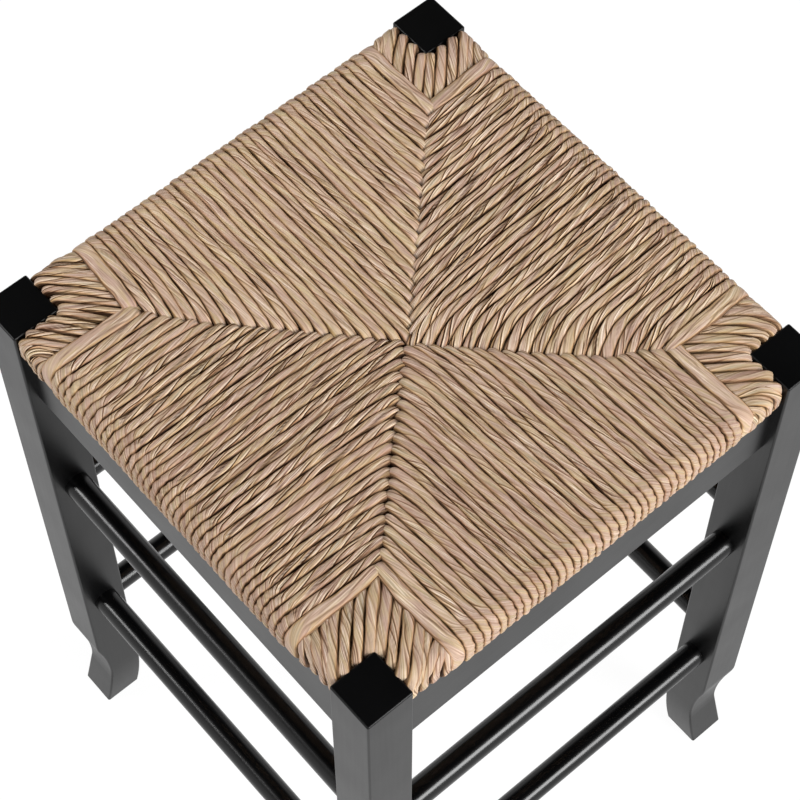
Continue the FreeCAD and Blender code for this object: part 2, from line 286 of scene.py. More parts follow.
# %% Lay the floor
FLOOR_HALF = 12.0
FLOOR_GLOW = 0.93
FLOOR_WHITE = 0.1
FLOOR_BOUNCE = 0.8
floor_corners = [(FLOOR_HALF * x, FLOOR_HALF * y, 0) for x, y in ((-1, -1), (1, -1), (1, 1), (-1, 1))]
floor_mesh = bpy.data.meshes.new("floor")
floor_mesh.from_pydata(floor_corners, [], [(0, 1, 2, 3)])
floor = bpy.data.objects.new("floor", floor_mesh)
bpy.context.scene.collection.objects.link(floor)
floor_paint, bench = new_material("white_floor")
lit = bench.add("ShaderNodeBsdfDiffuse", None, {"Color": grey(FLOOR_WHITE)})
glow = bench.add("ShaderNodeEmission", None, {"Strength": FLOOR_GLOW})
shown = bench.add("ShaderNodeAddShader", None, {0: lit, 1: glow})
bouncing = bench.add("ShaderNodeBsdfDiffuse", None, {"Color": grey(FLOOR_BOUNCE)})
floor_shader = bench.add("ShaderNodeMixShader", None, {0: looked_at(bench), 1: bouncing, 2: shown})
finish_material(bench, floor_shader)
floor_mesh.materials.append(floor_paint)
print("floor laid,", 2 * FLOOR_HALF, "m wide")

# %% [markdown]
# ## Black paint
# The frame is sprayed with black satin lacquer. Close to, the film follows the wood grain a little, so
# it has long shallow ripples along each piece, a slightly uneven shine, and a dusting of tiny specks.
# Grain runs along a piece: up the legs, across the boards and stretchers. The round stretchers shine
# more than the flat pieces, and each shows a line of light.
# One function makes a paint from a grain direction and a shine, and the pieces share five such paints.

# %% Mix the black paint
SATIN = {"least_rough": 0.30, "index": 1.31}
SHINY = {"least_rough": 0.17, "index": 1.4}
DEEP_BLACK = (0.0008, 0.0008, 0.0009, 1.0)
PALER_BLACK = (0.0016, 0.0016, 0.0018, 1.0)
CLOUDY_SHINE = 0.10
RIPPLED_SHINE = 0.04
SPECK_SHARE = 0.2


def on_piece(bench):
    """The place of a point on its piece, in metres."""
    return bench.add("ShaderNodeTexCoord", None, None, "Object")


def grain(bench, along, across_cycles, along_cycles, detail):
    """Noise drawn out along axis 0, 1 or 2, with cycles per metre across the grain and along it."""
    stretch = [across_cycles] * 3
    stretch[along] = along_cycles
    return bench.noise(bench.vector("MULTIPLY", on_piece(bench), stretch), detail=detail)


def finish_surface(bench, sockets, height, strength, depth):
    """Give a material its one surface, with relief of a depth in metres."""
    sizes = {"Strength": strength, "Distance": depth, "Height": height}
    relief = bench.add("ShaderNodeBump", None, sizes)
    finish_material(bench, bench.add("ShaderNodeBsdfPrincipled", None, {**sockets, "Normal": relief}))


def black_paint(name, along, least_rough, index):
    """Black lacquer over wood whose grain runs along the given axis, 0, 1 or 2."""
    material, bench = new_material(name)
    ripples = grain(bench, along, across_cycles=420.0, along_cycles=14.0, detail=3.0)
    cloud = bench.noise(on_piece(bench), scale=18.0, detail=4.0)
    speck = bench.noise(on_piece(bench), scale=1500.0, detail=1.0)
    rough = least_rough + CLOUDY_SHINE * cloud + RIPPLED_SHINE * ripples
    black = bench.blend(cloud, DEEP_BLACK, PALER_BLACK)
    film = ripples * (1 - SPECK_SHARE) + speck * SPECK_SHARE
    sockets = {"Base Color": black, "Roughness": rough, "IOR": index}
    finish_surface(bench, sockets, film, strength=0.10, depth=0.2 * MM)
    return material


def give(material, *nodes):
    """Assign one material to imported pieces."""
    for node in nodes:
        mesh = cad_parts[node].data
        mesh.materials.clear()
        mesh.materials.append(material)


print("satin paint mirrors with an index of", SATIN["index"], "and shiny paint with", SHINY["index"])

# %% Paint the frame
LEGS = ["front_left_leg", "front_right_leg", "back_right_leg", "back_left_leg"]
GRAIN_AXES = {0: ("front", "back"), 1: ("right", "left")}
UPRIGHT = 2
give(black_paint("black_paint_on_legs", UPRIGHT, **SATIN), *LEGS)
for axis, sides in GRAIN_AXES.items():
    board_paint = black_paint(f"black_paint_on_{sides[0]}_and_{sides[1]}_aprons", axis, **SATIN)
    rod_paint = black_paint(f"black_paint_on_{sides[0]}_and_{sides[1]}_stretchers", axis, **SHINY)
    for side in sides:
        give(board_paint, f"{side}_apron")
        give(rod_paint, f"{side}_upper_stretcher", f"{side}_lower_stretcher")
        print(f"painted the {side} apron and stretchers")

# %% [markdown]
# ## What lies under the rush
# The rails are plain unpainted wood and the pads between the woven layers are coarse dry stuffing.
# They show only as darkness between strands, but in a worn seat they would be seen.
# Streaks drawn out along each rail are enough for the wood, and loose noise for the scraps.

# %% Finish the rails and the stuffing
DARK_STREAK = rgb(96, 66, 40)
PALE_STREAK = rgb(150, 112, 72)
DARK_SCRAP = rgb(58, 40, 24)
PALE_SCRAP = rgb(120, 88, 56)
WOOD_ROUGH = 0.6
STREAK_ROUGH = 0.2
STUFFING_ROUGH = 0.8
SCRAP_ROUGH = 0.15


def bare_wood(name, along):
    """Raw timber with streaks along the given axis."""
    material, bench = new_material(name)
    streaks = grain(bench, along, across_cycles=260.0, along_cycles=9.0, detail=4.0)
    colour = bench.blend(streaks, DARK_STREAK, PALE_STREAK)
    rough = WOOD_ROUGH + STREAK_ROUGH * streaks
    sockets = {"Base Color": colour, "Roughness": rough}
    finish_surface(bench, sockets, streaks, strength=0.3, depth=0.3 * MM)
    return material


def dry_stuffing(name):
    """Packed scraps of rush."""
    material, bench = new_material(name)
    scraps = bench.noise(on_piece(bench), scale=240.0, detail=5.0, Distortion=1.2)
    colour = bench.blend(scraps, DARK_SCRAP, PALE_SCRAP)
    rough = STUFFING_ROUGH + SCRAP_ROUGH * scraps
    sockets = {"Base Color": colour, "Roughness": rough}
    finish_surface(bench, sockets, scraps, strength=0.8, depth=1.0 * MM)
    return material


RAIL_WOODS = {0: "bare_wood_front_and_back", 1: "bare_wood_sides"}
stuffing = dry_stuffing("dry_stuffing")
for axis, sides in GRAIN_AXES.items():
    rail_wood = bare_wood(RAIL_WOODS[axis], axis)
    for side in sides:
        give(rail_wood, f"{side}_seat_rail")
        give(stuffing, f"{side}_stuffing")
        print(f"finished the {side} rail and its stuffing")

# %% [markdown]
# ## The rush strand
# A strand is a few flat dry leaves, twisted into a cord about as thick as a pencil. Pressed against its
# neighbours it is a rounded square in section, and the edges of the leaves wind round it as fine
# creases. Where it is twisted hard, two lobes wind round it too, like the plies of a rope.
# Every strand follows its own line, so Geometry Nodes sweep one section along all the lines of a panel.
# The lines carry what differs from place to place: twist, width, flatness, lobes, wear and tone.

# %% Build the strand tree
SIZES = ("Twist length", "Crease depth", "Crumple", "Sway", "Waver", "Squareness")
CREASE_DEGREES = (0, 126, 216)
CREASE_SHARPNESS = 30.0
GATE_LEVEL = 0.42
GATE_SLOPE = 6.0
LOBE_GROOVES = 3.0
CRUMPLE_CYCLES = 85.0
CRUMPLE_APART = 70.0
CRUMPLE_ROUND = 1.1
FLAT_LIFT = 0.2
HELPERS = ("sideways", "middle", "run", "seed", "wound", "girth", "flatness", "braid")


def strand_tree():
    """Geometry Nodes that turn guide lines into twisted strands."""
    tree = bpy.data.node_groups.new("twisted_strands", "GeometryNodeTree")
    face = tree.interface
    face.new_socket("Guide lines", in_out="INPUT", socket_type="NodeSocketGeometry")
    for name in SIZES:
        face.new_socket(name, in_out="INPUT", socket_type="NodeSocketFloat")
    face.new_socket("Sides", in_out="INPUT", socket_type="NodeSocketInt")
    face.new_socket("Rush", in_out="INPUT", socket_type="NodeSocketMaterial")
    face.new_socket("Strands", in_out="OUTPUT", socket_type="NodeSocketGeometry")
    bench = Bench(tree)
    given = bench.add("NodeGroupInput")

    def carried(name, kind="FLOAT"):
        """A value that the lines carry."""
        return bench.add("GeometryNodeInputNamedAttribute", {"data_type": kind}, {"Name": name})

    def keep(geometry, name, value, kind="FLOAT"):
        """Store a value at every point."""
        settings = {"data_type": kind, "domain": "POINT"}
        sockets = {"Geometry": geometry, "Name": name, "Value": value}
        return bench.add("GeometryNodeStoreNamedAttribute", settings, sockets)

    along = carried("rush_along")
    sideways = carried("sideways", "FLOAT_VECTOR")
    seed = carried("seed")

    def noise_along(cycles, apart, layer=0.0, detail=1.0):
        """Noise along the strands: cycles per metre, how far apart strands lie in it, and its layer."""
        return bench.noise_at(along * cycles, seed * apart, layer, detail)

    # The lines: swayed a little, framed by their sideways direction, each point with its own turn
    lines = bench.add("GeometryNodeMeshToCurve", None, {"Mesh": given})
    length = bench.add("GeometryNodeSplineParameter", None, None, "Length")
    lines = keep(lines, "rush_along", length)
    sway = (noise_along(cycles=34.0, apart=90.0, detail=2.5) - 0.5) * 2.0 * given.also("Sway")
    bob = (noise_along(cycles=28.0, apart=50.0, layer=7.0) - 0.5) * 2.0 * given.also("Sway")
    shift = bench.vector("ADD", bench.scaled(sideways, sway), bench.scaled((0.0, 0.0, 1.0), bob))
    lines = bench.add("GeometryNodeSetPosition", None, {"Geometry": lines, "Offset": shift})
    framing = {"Curve": lines, "Normal": sideways}
    lines = bench.add("GeometryNodeSetCurveNormal", {"mode": "FREE"}, framing)
    turns = seed - carried("wound") / given.also("Twist length")
    lines = keep(lines, "rush_turn", turns * math.tau)
    place = bench.add("GeometryNodeInputPosition")
    lines = keep(lines, "middle", place, "FLOAT_VECTOR")
    lines = keep(lines, "run", bench.add("GeometryNodeInputTangent"), "FLOAT_VECTOR")

    # The section: a plain ring that remembers its own angle
    ring_sockets = {"Resolution": given.also("Sides"), "Radius": 1.0}
    ring = bench.add("GeometryNodeCurvePrimitiveCircle", {"mode": "RADIUS"}, ring_sockets)
    ring = keep(ring, "rush_round", place, "FLOAT_VECTOR")
    waver = noise_along(cycles=60.0, apart=30.0, layer=3.0, detail=2.0) - 0.5
    radius = carried("girth") * (1.0 + waver * given.also("Waver")) * 0.5
    swept = bench.add("GeometryNodeCurveToMesh", None, {
        "Curve": lines, "Profile Curve": ring, "Scale": radius, "Fill Caps": True})

    # Where a point of the skin lies: its arm from the line, sideways and upward, pressed square
    middle = carried("middle", "FLOAT_VECTOR")
    run = carried("run", "FLOAT_VECTOR")
    upward = bench.vector("NORMALIZE", bench.vector("CROSS_PRODUCT", run, sideways))
    arm = bench.vector("SUBTRACT", place, middle)
    beside = bench.vector("DOT_PRODUCT", arm, sideways)
    above = bench.vector("DOT_PRODUCT", arm, upward)
    reach = bench.vector("LENGTH", arm)
    power = given.also("Squareness")
    squared = ((abs(beside) / reach) ** power + (abs(above) / reach) ** power) ** (-1.0 / power)

    # What winds round it with the twist: two lobes, grooves between them, creases that come and go
    around = bench.turned_back(carried("rush_round", "FLOAT_VECTOR"), carried("rush_turn"))
    split = bench.parts(around)
    lobes = (split * split - split.also("Y") * split.also("Y")) * carried("braid")
    crease = lobes * -LOBE_GROOVES
    worn = carried("rush_worn")
    for degrees in CREASE_DEGREES:
        angle = math.radians(degrees)
        facing = bench.vector("DOT_PRODUCT", around, (math.cos(angle), math.sin(angle), 0.0))
        gate = (noise_along(cycles=24.0, apart=50.0, layer=float(degrees)) - GATE_LEVEL) * GATE_SLOPE
        gate = gate.at_least(0.0).at_most(1.0)
        crease = crease.at_least(facing.at_least(0.0) ** CREASE_SHARPNESS * gate * worn)
    lengthwise = along * CRUMPLE_CYCLES + seed * CRUMPLE_APART
    round_it = (split * CRUMPLE_ROUND, split.also("Y") * CRUMPLE_ROUND)
    crumple = bench.noise_at(lengthwise, *round_it, detail=2.0) - 0.5
    swell = 1.0 + lobes - crease * given.also("Crease depth") + crumple * given.also("Crumple")
    swell = squared * swell

    # The skin: moved to its place, with what the rush needs to know kept on it
    flatness = carried("flatness")
    skin = bench.vector("ADD", middle, bench.scaled(sideways, beside * swell))
    skin = bench.vector("ADD", skin, bench.scaled(upward, above * swell * flatness))
    # rush_crease and rush_up say where the rush paints shade: in creases and down a strand's sides and
    # underside
    swept = keep(swept, "rush_crease", crease)
    swept = keep(swept, "rush_up", above / reach + (1.0 - flatness) * FLAT_LIFT)
    strands = bench.add("GeometryNodeSetPosition", None, {"Geometry": swept, "Position": skin})
    for name in HELPERS:
        strands = bench.add("GeometryNodeRemoveAttribute", None, {"Geometry": strands, "Name": name})
    strands = bench.add("GeometryNodeSetShadeSmooth", None, {"Geometry": strands})
    strands = bench.add("GeometryNodeRealizeInstances", None, {"Geometry": strands})
    covering = {"Geometry": strands, "Material": given.also("Rush")}
    strands = bench.add("GeometryNodeSetMaterial", None, covering)
    bench.add("NodeGroupOutput", None, {"Strands": strands})
    return tree


STRAND_TREE = strand_tree()
print("nodes in the strand tree:", len(STRAND_TREE.nodes))

# %% [markdown]
# ## The rush itself
# Dry rush is straw coloured, with pink, olive and brown leaves among the pale ones. Each strand keeps
# its own tone, and fine fibres run along it with the twist. The edges of the leaves wander round it,
# most of all where it is worn, each drawn as a painted shadow with a painted highlight beside it.
# A brown painted shade lies beside each leaf edge and down each strand's sides, because shadow there is
# brown and not grey. Creases get painted shade too, and the grooves between strands get the darkest.
# The material reads the values that the strand tree left on the skin, so all this follows the twist.

# %% Choose the colours of the rush
LEAF_COLOURS = [(0.26, rgb(152, 119, 93)), (0.40, rgb(190, 157, 144)), (0.50, rgb(193, 167, 145)),
                (0.60, rgb(199, 175, 129)), (0.72, rgb(168, 164, 137))]
STRAND_COLOURS = [(0.0, rgb(152, 123, 103)), (0.35, rgb(183, 155, 137)), (0.7, rgb(198, 172, 147)),
                  (1.0, rgb(207, 186, 153))]
STRAND_SHARE = 0.5
PALE_THREAD = rgb(252, 237, 218)
DARK_THREAD = rgb(80, 45, 19)
# The highlight and the shadow painted along a leaf edge
EDGE_SHINE = rgb(250, 232, 208)
EDGE_SHADE = rgb(42, 20, 7)
# Painted shade in creases and in the grooves between strands
CREASE_SHADE = rgb(66, 40, 24)
GROOVE_SHADE = rgb(34, 14, 4)
# A brown tint multiplied in as painted shade beside leaf edges and down each strand's sides
SHADE_TINT = (1.0, 0.8, 0.56, 1.0)
print("colours of leaves:", len(LEAF_COLOURS), "and of strands:", len(STRAND_COLOURS))

# %% Choose where its marks lie
# Four numbers to a mark: where it begins, where it is full, and its strength at both
FRAYED_PATCHES = (0.40, 0.62, 0.45, 1.0)
FRAYED_WHEN_WORN = (0.1, 0.9, 0.35, 1.0)
PALE_THREADS = (0.53, 0.66, 0.0, 0.9)
DARK_THREADS = (0.46, 0.34, 0.0, 0.95)
EDGE_PLACES = (0.39, 0.53, 0.0, 1.0)
EDGE_FRONT = (0.3, 0.5, 0.0, 1.0)
EDGE_STEP = (-0.12, 0.12, 0.0, 0.6)
# Widths of a leaf edge's painted shadow, painted highlight and brown painted shade
SHADE_WIDTH = (0.16, 0.06, 0.0, 1.0)
SHINE_WIDTH = (0.14, 0.05, 0.0, 1.0)
SHADE_TINT_WIDTH = (0.34, 0.12, 0.0, 0.8)
# Where, going down a strand's side, the brown painted shade and the darker painted groove shade set in
SHADE_TINT_DOWN_TO = (0.93, 0.72, 0.0, 0.85)
GROOVE_DOWN_TO = (0.80, 0.60, 0.0, 1.0)
GROOVE_PATCHES = (0.3, 0.6, 0.62, 1.0)
GROOVE_WHEN_WORN = (0.1, 0.8, 0.7, 1.0)
LEAF_EDGES = (0, 58, 121, 178, 240, 301)
EDGE_WANDER = 3.0
EDGE_APART = 7.0
SHOWN_LAYER = 3.0
SHINE_BESIDE = 0.24
print("leaf edges round a strand:", len(LEAF_EDGES))

# %% Dye the rush
TONE_APART = 61.0
# How strong the painted highlight, shadows and shade are, and the most of each
SHINE_STRENGTH = 0.5
SHADE_STRENGTH = 0.95
CREASE_STRENGTH = 0.7
GROOVE_STRENGTH = 0.97
MOST_SHADE_TINT = 0.9
MOST_SHINE = 0.65
MOST_SHADE = 0.96
MOST_CREASE = 0.85
THREAD_RELIEF = 0.5
HAIR_RELIEF = 0.3
LEAST_ROUGH = 0.42
THREAD_ROUGH = 0.24
CREASE_ROUGH = 0.1
RUSH_INDEX = 1.2


def rush_material(name):
    """Dry rush, coloured by what the strand tree left on the skin."""
    material, bench = new_material(name)

    def left_on_skin(attribute, output="Fac"):
        """A value that the strand tree kept."""
        return bench.add("ShaderNodeAttribute", {"attribute_name": attribute}, None, output)

    along = left_on_skin("rush_along")
    tone = left_on_skin("rush_tone")
    crease = left_on_skin("rush_crease")
    up = left_on_skin("rush_up")
    # Wear frays a strand and also sets how strong its painted edge shadow, highlight and groove shade are
    worn = left_on_skin("rush_worn")
    turn = left_on_skin("rush_turn")
    ring = left_on_skin("rush_round", "Vector")
    around = bench.parts(bench.turned_back(ring, turn))

    def fibres(cycles, about, detail, shift=0.0):
        """Noise drawn out along the strand: cycles per metre, and a radius in noise round it."""
        lengthwise = along * cycles + tone * TONE_APART + shift
        round_it = (around * about, around.also("Y") * about)
        return bench.noise_at(lengthwise, *round_it, detail, Roughness=0.6)

    def wander(cycles, layer):
        """Noise that changes along the strand only."""
        return bench.noise_at(along * cycles, tone * TONE_APART, layer, 1.0)

    def between(value, mark):
        """How strong a mark is at a value. A Map Range node takes the mark's numbers in sockets 1 to 4."""
        return bench.add("ShaderNodeMapRange", None, {"Value": value, **dict(enumerate(mark, start=1))})

    # Leaves and the strand's own tone, then pale and dark threads where it is frayed
    leaf = fibres(cycles=30.0, about=0.8, detail=2.0)
    thread = fibres(cycles=42.0, about=5.6, detail=3.0)
    hair = fibres(cycles=420.0, about=17.0, detail=2.0)
    leaf_colour = bench.add("ShaderNodeValToRGB", {"stops": LEAF_COLOURS}, {"Fac": leaf})
    strand_colour = bench.add("ShaderNodeValToRGB", {"stops": STRAND_COLOURS}, {"Fac": tone})
    colour = bench.blend(STRAND_SHARE, leaf_colour, strand_colour)
    patches = fibres(cycles=22.0, about=0.7, detail=1.0, shift=47.0)
    frayed = between(patches, FRAYED_PATCHES) * between(worn, FRAYED_WHEN_WORN)
    colour = bench.blend(between(thread, PALE_THREADS) * frayed, colour, PALE_THREAD)
    colour = bench.blend(between(thread, DARK_THREADS) * frayed, colour, DARK_THREAD)
    height = thread * THREAD_RELIEF + hair * HAIR_RELIEF

    # Leaf edges stray round the strand and show in places, with a step, a painted shadow and highlight
    for number, degrees in enumerate(LEAF_EDGES):
        layer = EDGE_APART * number
        strays = (wander(cycles=26.0, layer=layer) - 0.5) * EDGE_WANDER
        edge = bench.parts(bench.turned_back(ring, turn + strays + math.radians(degrees)))
        beside = edge.also("Y")
        places = wander(cycles=31.0, layer=layer + SHOWN_LAYER)
        shown = between(places, EDGE_PLACES) * worn * between(edge, EDGE_FRONT)
        shade = between(abs(beside), SHADE_WIDTH) * shown
        shine = between(abs(beside - SHINE_BESIDE), SHINE_WIDTH) * shown
        # A brown painted shade beneath the edge, multiplied into the colour
        beneath = between(abs(beside), SHADE_TINT_WIDTH) * shown
        colour = bench.blend(beneath.at_most(MOST_SHADE_TINT), colour, SHADE_TINT, "MULTIPLY")
        colour = bench.blend((shine * SHINE_STRENGTH).at_most(MOST_SHINE), colour, EDGE_SHINE)
        colour = bench.blend((shade * SHADE_STRENGTH).at_most(MOST_SHADE), colour, EDGE_SHADE)
        height = height + between(beside, EDGE_STEP) * shown

    # Painted shade: in creases, brown down each strand's sides, darkest in the grooves between strands
    colour = bench.blend((crease * CREASE_STRENGTH).at_most(MOST_CREASE), colour, CREASE_SHADE)
    colour = bench.blend(between(up, SHADE_TINT_DOWN_TO), colour, SHADE_TINT, "MULTIPLY")
    patches = fibres(cycles=40.0, about=0.6, detail=1.0, shift=31.0)
    groove = between(up, GROOVE_DOWN_TO) * between(patches, GROOVE_PATCHES)
    groove = groove * between(worn, GROOVE_WHEN_WORN)
    colour = bench.blend(groove * GROOVE_STRENGTH, colour, GROOVE_SHADE)
    rough = LEAST_ROUGH + THREAD_ROUGH * thread + CREASE_ROUGH * crease
    sockets = {"Base Color": colour, "Roughness": rough, "IOR": RUSH_INDEX}
    finish_surface(bench, sockets, height, strength=0.9, depth=0.5 * MM)
    return material


RUSH = rush_material("twisted_rush")
print("nodes in the rush:", len(RUSH.node_tree.nodes))

# %% [markdown]
# ## Guide lines
# A line is a row of joined points. Each strand adds one line, with the direction that lies sideways
# across it at every point, and with the values that the strand tree and the rush read later.
# A mesh of points and edges holds the lines, because Blender fills a mesh from plain lists, and the
# strand tree turns its edges into curves.

# %% Collect lines
CARRIED = ("seed", "wound", "girth", "flatness", "braid", "rush_worn", "rush_tone")


class GuideLines:
    """Lines for strands to follow, and what each strand carries."""

    def __init__(self):
        self.points = []
        self.edges = []
        self.sideways = []
        self.values = {name: [] for name in CARRIED}

    def line(self, points, sideways, carried):
        """Add a strand. What it carries is one value, or a list with a value for each point."""
        first = len(self.points)
        self.points += points
        self.sideways += sideways
        self.edges += [(first + i, first + i + 1) for i in range(len(points) - 1)]
        for name, value in carried.items():
            self.values[name] += value if isinstance(value, list) else [value] * len(points)

    def mesh(self, name):
        """The lines as a mesh of points and edges."""
        made = bpy.data.meshes.new(name)
        made.from_pydata(self.points, self.edges, [])
        direction = made.attributes.new("sideways", "FLOAT_VECTOR", "POINT")
        direction.data.foreach_set("vector", [x for vector in self.sideways for x in vector])
        for key, values in self.values.items():
            made.attributes.new(key, "FLOAT", "POINT").data.foreach_set("value", values)
        return made


print("each strand carries:", ", ".join(CARRIED))

# %% Weave lines into strands
WEAVE = {"Twist length": 95 * MM, "Crease depth": 0.15, "Crumple": 0.26, "Sway": 1.0 * MM,
         "Waver": 0.42, "Squareness": 3.0, "Sides": 20, "Rush": RUSH}


def weave(name, guides):
    """Run the strand tree on guide lines and keep the result as one plain piece of the seat."""
    loom = bpy.data.objects.new(f"{name}_lines", guides.mesh(f"{name}_lines"))
    bpy.context.scene.collection.objects.link(loom)
    nodes = loom.modifiers.new("strands", "NODES")
    nodes.node_group = STRAND_TREE
    for item in STRAND_TREE.interface.items_tree:
        if item.name in WEAVE:
            nodes[item.identifier] = WEAVE[item.name]
    ready = loom.evaluated_get(bpy.context.evaluated_depsgraph_get())
    mesh = bpy.data.meshes.new_from_object(ready)
    mesh.name = name
    bpy.data.objects.remove(loom)
    piece = bpy.data.objects.new(name, mesh)
    bpy.context.scene.collection.objects.link(piece)
    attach(piece, "root")
    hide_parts("rush_seat")
    triangles = sum(len(face.vertices) - 2 for face in mesh.polygons)
    print(f"{name}: {len(guides.points)} guide points, {triangles} triangles")
    return piece


print("sides of a strand:", WEAVE["Sides"])

# %% [markdown]
# ## The plan of the seat
# Seen from above, the seat is four triangles that meet along mitres. The weaver works by eye, so the
# mitres don't run exactly from corner to corner: each has its own apex near the leg, a shoulder where
# the strands settle to an even width, and all four meet a little beside the middle.
# The plan holds these points for each corner, and where the outermost strands cross the rails.
# It also holds how the strands round the leg lie: how far they stay back from the rail's face, how wide
# they are, how much more each next one is gathered in beside the leg, and how worn they are.

# %% Draw the plan
seat_low, seat_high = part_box("rush_seat")
leg_low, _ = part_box("back_right_leg")
LEG_FACE = leg_low.x
HALF_THICK = 2.8 * MM
RAIL_BEND = 8.0 * MM
LINE_EDGE = seat_high.x - HALF_THICK
LINE_TOP = seat_high.z - HALF_THICK
LINE_BOTTOM = seat_low.z + HALF_THICK
RIM = LINE_EDGE - RAIL_BEND
MIDDLE = Vector((3.0, 1.0, 0.0)) * MM
# Places and widths in millimetres, places counted from the middle of the seat
CORNERS = {
    "front_left": {"signs": (-1, -1), "apex": (132, 123.5), "shoulder": (91, 91), "edge": (131, 121.5),
                   "recess": 1.0, "pitch": 5.8, "gather": (0.0, 0.0), "worn": 1.1},
    "front_right": {"signs": (1, -1), "apex": (119, 121.5), "shoulder": (88, 88), "edge": (122, 124),
                    "recess": 3.5, "pitch": 7.4, "gather": (0.0, 0.0), "worn": 0.55},
    "back_right": {"signs": (1, 1), "apex": (121.5, 129), "shoulder": (98.5, 92.5), "edge": (124, 128.5),
                   "recess": 2.0, "pitch": 7.0, "gather": (2.4, 0.4), "worn": 0.5},
    "back_left": {"signs": (-1, 1), "apex": (126.5, 134), "shoulder": (93.5, 98), "edge": (127.5, 132.5),
                  "recess": 0.0, "pitch": 7.4, "gather": (0.6, 0.6), "worn": 0.6},
}
print("strand line in mm: rim", round(RIM / MM, 1), "top", round(LINE_TOP / MM, 1))

# %% Share out the mitres and the rails
WIDE_STRANDS = (11.0 * MM, 7.6 * MM)
APEX_SHARES = (0.0, 0.275, 0.485, 0.66, 0.83, 1.0)
RAIL_WIDTHS = (0.88, 1.12)


def on_plan(corner, point):
    """A point of a corner's table as a place on the seat."""
    return Vector((corner["signs"][0] * point[0], corner["signs"][1] * point[1], 0.0)) * MM


def mitre_edges(corner, count):
    """Edges between the strands along a mitre, from its apex to the middle of the seat."""
    apex = on_plan(corner, corner["apex"])
    shoulder = on_plan(corner, corner["shoulder"])
    rest = count + 1 - len(APEX_SHARES)
    edges = [apex.lerp(shoulder, share) for share in APEX_SHARES]
    return edges + [shoulder.lerp(MIDDLE, (k + 1) / rest) for k in range(rest)]


def rail_edges(start, stop, count, chance):
    """Edges between the strands where they cross the rail, from the corner to the panel's middle."""
    widths = [chance.uniform(*RAIL_WIDTHS) for _ in range(count - len(WIDE_STRANDS))]
    room = abs(stop - start) - sum(WIDE_STRANDS)
    widths = list(WIDE_STRANDS) + [width * room / sum(widths) for width in widths]
    way = math.copysign(1.0, stop - start)
    edges = [start]
    for width in widths:
        edges.append(edges[-1] + way * width)
    return edges


print("strands beside an apex that have their own widths:", len(APEX_SHARES) - 1)

# %% [markdown]
# ## The four panels
# A strand starts at the mitre, runs out to the rail, goes round it and comes back below. At each mitre
# one panel lies over the next: its strands end in round tips that dive between the strands of the other.
# Going round the seat, each panel is over at one end and under at the other.
# From the rail to the mitre a strand drifts sideways, and most of that happens close to the mitre, where
# the weaver pulled it tight. How far from the mitre it starts is a setting of each half panel.
# On the rim the strands are twisted hard, so their lobes stand side by side there like a braid.

# %% Bend a strand over the rail
OVER = {"name": "over", "hand": -1, "dive": 4.0 * MM, "strands": 20, "past": 0.0}
UNDER = {"name": "under", "hand": 1, "dive": 6.0 * MM, "strands": 19, "past": 4.0 * MM}
DISH_DEPTH = 10.0 * MM
DIVE_DEPTH = 5.0 * MM
BEND_DEGREES = 9
TOP_STEP = 3.6 * MM
SIDE_STEP = 1.3 * MM
BELOW_STEP = 7 * MM


def spaced(start, stop, length):
    """Even values from start to stop, about one length apart, both ends included."""
    count = max(1, round(abs(stop - start) / length))
    return [start + (stop - start) * i / count for i in range(count + 1)]


def top_line(out):
    """Height of a strand's middle line on the dished top, at a distance out from the seat's middle."""
    return LINE_TOP - DISH_DEPTH * max(0.0, 1 - out / RIM)


def turned(out, height, radius, first, last):
    """Points of an arc seen from the side, as (out, height). Degrees count from straight out."""
    angles = [math.radians(degrees) for degrees in spaced(first, last, BEND_DEGREES)]
    return [(out + radius * math.cos(angle), height + radius * math.sin(angle)) for angle in angles]


def strand_profile(tip, bend, lift, past):
    """One strand seen from the side, from its dive at the mitre over the rail and back below.
    Below it may go a little past the place where it started, so that no light comes through the mitre."""
    inner = tip + bend
    back = inner - past
    top = top_line(inner) + lift
    profile = [(tip, top - bend - DIVE_DEPTH)]
    profile += turned(inner, top - bend, bend, 180, 90)
    profile += [(out, top_line(out) + lift) for out in spaced(inner, RIM, TOP_STEP)[1:]]
    high = LINE_TOP + lift - RAIL_BEND
    low = LINE_BOTTOM + RAIL_BEND
    profile += turned(RIM, high, RAIL_BEND, 90, 0)[1:]
    profile += [(LINE_EDGE, height) for height in spaced(high, low, SIDE_STEP)[1:-1]]
    profile += turned(RIM, low, RAIL_BEND, 0, -90)
    profile += [(out, LINE_BOTTOM) for out in spaced(RIM, back, BELOW_STEP)[1:]]
    profile += turned(back, LINE_BOTTOM + bend, bend, -90, -180)[1:]
    return profile


print("points along the longest strand:", len(strand_profile(0.0, OVER["dive"], 0.0, OVER["past"])))

# %% Lay one panel strand
RIM_TWIST = 7.0
RIM_TWIST_LENGTH = 6.5 * MM
RIM_WEAR = -0.6


def limited(share):
    """A number held between 0 and 1."""
    return min(1.0, max(0.0, share))


def rising(share):
    """A smooth step from 0 to 1."""
    share = limited(share)
    return share * share * (3 - 2 * share)


def wound_length(points, rates):
    """Length along a line at each point, counted faster where the strand is twisted more."""
    total = 0.0
    lengths = [total]
    for i in range(1, len(points)):
        total += (points[i] - points[i - 1]).length * (rates[i] + rates[i - 1]) / 2
        lengths.append(total)
    return lengths


